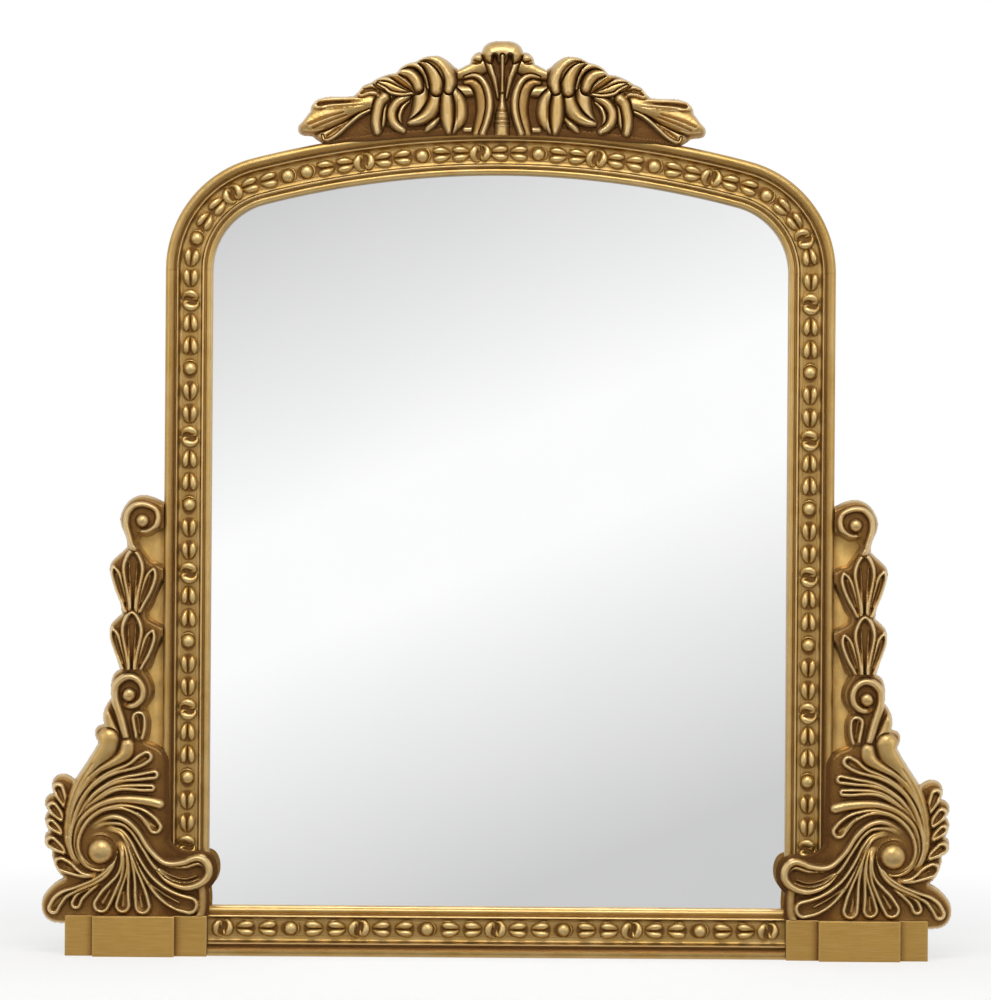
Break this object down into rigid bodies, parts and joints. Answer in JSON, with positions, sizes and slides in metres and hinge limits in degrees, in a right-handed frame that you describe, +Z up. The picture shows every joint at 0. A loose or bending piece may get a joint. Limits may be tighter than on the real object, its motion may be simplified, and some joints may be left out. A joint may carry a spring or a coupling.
{
  "type": "overmantel mirror",
  "caption": "Wide arched gilt wall mirror with a beaded moulding, carved leaf crest, scrolled acanthus side brackets on plinths, and ring hangers behind.",
  "frame": {"origin": "on the floor plane, under the middle of the mirror's box", "axes": "+Z up, the glass faces -Y, +X to the right of someone looking into the mirror"},
  "size_m": [1.186, 0.0636, 1.194],
  "materials": {
    "gilt_moulding": "antique gold paint over gesso, satin, darker in the hollows",
    "gilt_beads": "antique gold paint on moulded composition, satin",
    "gilt_carving": "antique gold paint with dark patina in the carving",
    "gilt_board": "plain antique gold paint",
    "gilt_plinth": "antique gold paint brushed in fine level streaks",
    "silvered_glass": "silvered float glass",
    "hardboard": "plain brown board",
    "zinc_steel": "zinc plated",
    "felt_pad": "dark felt"
  },
  "bodies": {
    "frame": {"acanthus_scroll_left": "gilt_carving", "acanthus_scroll_right": "gilt_carving", "backing_board": "hardboard", "bead_strip_arch": "gilt_beads", "bead_strip_bottom": "gilt_beads", "bead_strip_left": "gilt_beads", "bead_strip_right": "gilt_beads", "bracket_board_left": "gilt_board", "bracket_board_right": "gilt_board", "bracket_plate_left": "zinc_steel", "bracket_plate_right": "zinc_steel", "corner_plate_left": "zinc_steel", "corner_plate_right": "zinc_steel", "crest_board": "gilt_board", "crest_leaves_left": "gilt_carving", "crest_leaves_right": "gilt_carving", "crest_plate_left": "zinc_steel", "crest_plate_right": "zinc_steel", "crest_plume": "gilt_carving", "frame_arch_rail": "gilt_moulding", "frame_bottom_rail": "gilt_moulding", "frame_stile_left": "gilt_moulding", "frame_stile_right": "gilt_moulding", "hanger_screw_left_1": "zinc_steel", "hanger_screw_left_2": "zinc_steel", "hanger_screw_right_1": "zinc_steel", "hanger_screw_right_2": "zinc_steel", "hanger_strap_left": "zinc_steel", "hanger_strap_right": "zinc_steel", "husk_drop_left": "gilt_carving", "husk_drop_right": "gilt_carving", "joint_plate_left": "zinc_steel", "joint_plate_right": "zinc_steel", "mirror_glass": "silvered_glass", "plinth_base_left": "gilt_plinth", "plinth_base_right": "gilt_plinth", "plinth_block_left": "gilt_plinth", "plinth_block_right": "gilt_plinth", "retaining_clip_left_1": "zinc_steel", "retaining_clip_left_2": "zinc_steel", "retaining_clip_left_3": "zinc_steel", "retaining_clip_left_4": "zinc_steel", "retaining_clip_right_1": "zinc_steel", "retaining_clip_right_2": "zinc_steel", "retaining_clip_right_3": "zinc_steel", "retaining_clip_right_4": "zinc_steel", "wall_pad_left": "felt_pad", "wall_pad_right": "felt_pad"},
    "ring_left": {"hanger_ring_left": "zinc_steel"},
    "ring_right": {"hanger_ring_right": "zinc_steel"}
  },
  "joints": [
    {"name": "ring_left_swing", "type": "hinge", "parent": "frame", "child": "ring_left", "pos_m": [-0.41, 0.0279, 0.8], "axis": [1, 0, 0], "range_deg": [0, 180]},
    {"name": "ring_right_swing", "type": "hinge", "parent": "frame", "child": "ring_right", "pos_m": [0.41, 0.0279, 0.8], "axis": [1, 0, 0], "range_deg": [0, 180]}
  ]
}
